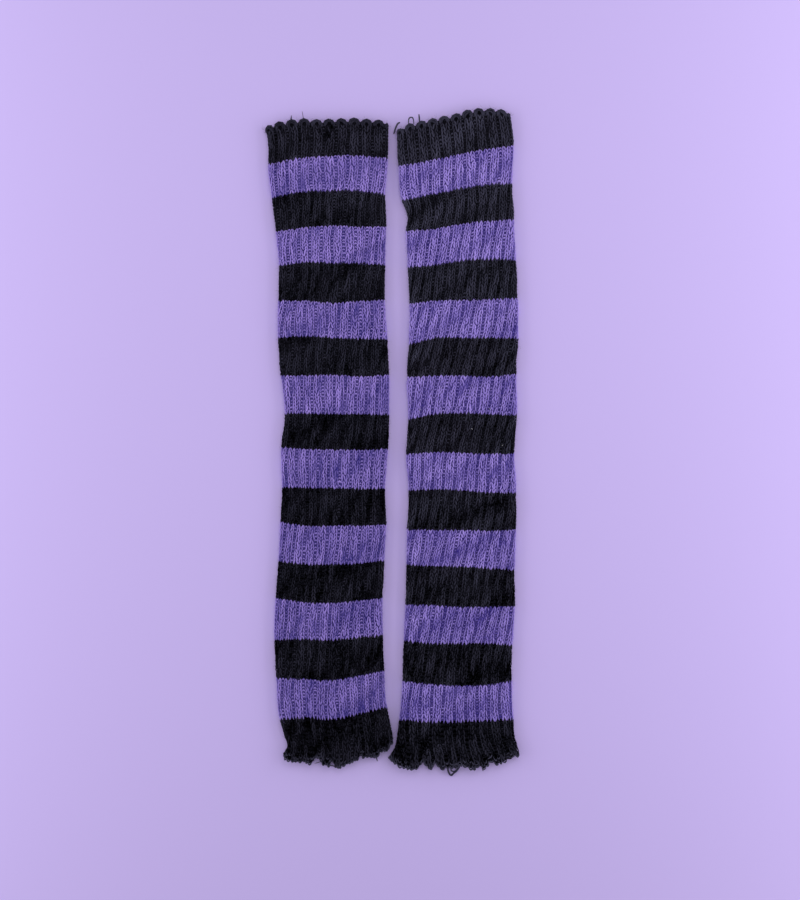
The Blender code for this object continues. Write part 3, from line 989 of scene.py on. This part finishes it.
def yarn_material(name, colours, gloss, sheen):
    """Matte fibrous yarn: a mottled colour, with painted shade in the depths between the stitches and
    a painted highlight at the crests, uneven from one to the next, with fine fibres."""
    material = bpy.data.materials.new(name)
    material.use_nodes = True
    nodes, links = material.node_tree.nodes, material.node_tree.links
    # the painted shade colour of the depths and the painted highlight colour of the crests
    deep, crest = linear(colours)
    step = COLOUR_REACH * (crest - deep)
    shader = nodes["Principled BSDF"]
    shader.inputs["Roughness"].default_value = YARN_ROUGHNESS
    shader.inputs["Specular IOR Level"].default_value = gloss
    shader.inputs["Sheen Weight"].default_value = sheen
    shader.inputs["Sheen Roughness"].default_value = SHEEN_ROUGHNESS
    shader.inputs["Sheen Tint"].default_value = (*np.clip(crest * SHEEN_TINT, 0, 1), 1)
    place = nodes.new("ShaderNodeTexCoord")
    patches = noise(nodes, links, place, *PATCHES)
    fibres = noise(nodes, links, place, *FINE_FIBRES)
    tone = nodes.new("ShaderNodeAttribute")
    tone.attribute_name = "tone"
    mottle = weighted(nodes, links, tone.outputs["Fac"], TONE_WEIGHT, TONE_BASE)
    mottle = weighted(nodes, links, patches.outputs["Fac"], PATCHES_WEIGHT, mottle)
    mottle = weighted(nodes, links, fibres.outputs["Fac"], FINE_FIBRES_WEIGHT, mottle)
    ramp = nodes.new("ShaderNodeValToRGB")
    ends = ((0.0, deep - step), (1.0, crest + step))
    for stop, (position, colour) in zip(ramp.color_ramp.elements, ends):
        stop.position = position
        stop.color = (*np.clip(colour, 0, 1), 1)
    links.new(mottle, ramp.inputs["Fac"])
    links.new(ramp.outputs["Color"], shader.inputs["Base Color"])
    bump = nodes.new("ShaderNodeBump")
    bump.inputs["Strength"].default_value = BUMP_STRENGTH
    bump.inputs["Distance"].default_value = BUMP_HEIGHT * MM
    links.new(fibres.outputs["Fac"], bump.inputs["Height"])
    links.new(bump.outputs["Normal"], shader.inputs["Normal"])
    return material


def floor_material():
    """The plain pale floor."""
    material = bpy.data.materials.new("floor")
    material.use_nodes = True
    shader = material.node_tree.nodes["Principled BSDF"]
    shader.inputs["Base Color"].default_value = (*linear(FLOOR_COLOUR), 1)
    shader.inputs["Roughness"].default_value = FLOOR_ROUGHNESS
    shader.inputs["Specular IOR Level"].default_value = FLOOR_GLOSS
    return material


# The pair


def make_leg_warmer(side, table, hem, creases):
    """One leg warmer: its shell, and on it all that replaces the plain solid."""
    rng = np.random.default_rng(SEEDS[side])
    tube = {
        "name": "leg_warmer_" + side,
        "side": side,
        "rows": np.array(table, float),
        "hem": hem,
        "creases": creases,
        "sunk_depth": SUNK_DEPTH[side],
        "drift": waves(rng, *DRIFT_WAVES),
        "swell": waves(rng, *SWELL_WAVES),
    }
    kinds = ("dark", "violet")
    yarns, deep = {}, []
    for kind in kinds:
        colours = np.array(YARNS_LIT_AND_SHADED[side, kind])
        finish = GLOSS[kind], SHEEN[kind]
        yarns[kind] = yarn_material(f"yarn_{side}_{kind}", colours, *finish)
        # the shell's materials: the yarns painted darker, as painted shade between the stitches
        deep.append(yarn_material(f"painted_shade_core_{side}_{kind}", colours * SHELL_PAINTED_SHADE[kind], *finish))
    core = shell(tube, deep)
    on_it = []
    for band in range(BANDS):
        points, faces, tones = stitches(tube, band, rng)
        name = f"knit_{side}_band_{band + 1:02d}"
        on_it.append(mesh_piece(name, points, faces, [yarns[yarn_of(band)]], tones=tones))
    dark_parts = {
        "cast_on": cast_on_loops(tube, rng),
        "cast_off": cast_off_loops(tube, rng),
        "loose_ends": loose_ends(side, rng),
    }
    for name, (points, faces, tones) in dark_parts.items():
        on_it.append(mesh_piece(f"{name}_{side}", points, faces, [yarns["dark"]], tones=tones))
    for parity, kind in enumerate(kinds):
        points, faces, tones = fuzz(tube, rng, FIBRES, parity)
        on_it.append(mesh_piece(f"fuzz_{side}_{kind}", points, faces, [yarns[kind]], tones=tones))
    points, faces, tones = lint(side, rng)
    pale = yarn_material(f"lint_{side}", LINT_COLOURS, GLOSS["dark"], SHEEN["dark"])
    on_it.append(mesh_piece(f"lint_{side}", points, faces, [pale], tones=tones))
    for piece in [core, *on_it]:
        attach(piece, "root")
    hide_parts(tube["name"])


def make_floor():
    """The floor, just below what rests on it."""
    corners = [(x * FLOOR_HALF, y * FLOOR_HALF, 0) for x, y in ((-1, -1), (1, -1), (1, 1), (-1, 1))]
    floor = mesh_piece("floor", corners, [(0, 1, 2, 3)], [floor_material()])
    floor.location.z = FLOOR_Z


def make_lights():
    """The white dome and the soft boxes."""
    world = bpy.data.worlds.new("soft")
    world.use_nodes = True
    background = world.node_tree.nodes["Background"]
    background.inputs["Color"].default_value = (1.0, 1.0, 1.0, 1.0)
    background.inputs["Strength"].default_value = DOME_STRENGTH
    bpy.context.scene.world = world
    for name, (place, aim, width, height, watts) in SOFTBOXES.items():
        light = bpy.data.lights.new(name, "AREA")
        light.shape = "RECTANGLE"
        light.size = width
        light.size_y = height
        light.energy = watts
        lamp = bpy.data.objects.new(name, light)
        lamp.location = place
        lamp.rotation_mode = "QUATERNION"
        lamp.rotation_quaternion = (Vector(aim) - Vector(place)).to_track_quat("-Z", "Y")
        lamp.visible_camera = False
        bpy.context.collection.objects.link(lamp)


def make_camera():
    """A camera that looks straight down, over the middle of the picture."""
    data = bpy.data.cameras.new("camera")
    data.lens = LENS
    data.sensor_width = SENSOR
    data.clip_end = CLIP_END
    seen = PICTURE_HEIGHT * PIXEL * MM
    x = (PICTURE_MIDDLE[0] - ORIGIN_PIXEL[0]) * PIXEL * MM
    y = (ORIGIN_PIXEL[1] - PICTURE_MIDDLE[1]) * PIXEL * MM
    camera = bpy.data.objects.new("camera", data)
    camera.location = (x, y, seen * LENS / SENSOR)
    bpy.context.collection.objects.link(camera)
    bpy.context.scene.camera = camera


make_camera()
make_lights()
make_floor()
make_leg_warmer("left", LEFT_COURSES, LEFT_HEM, LEFT_CREASES)
make_leg_warmer("right", RIGHT_COURSES, RIGHT_HEM, RIGHT_CREASES)
bpy.context.scene.view_settings.view_transform = "Standard"
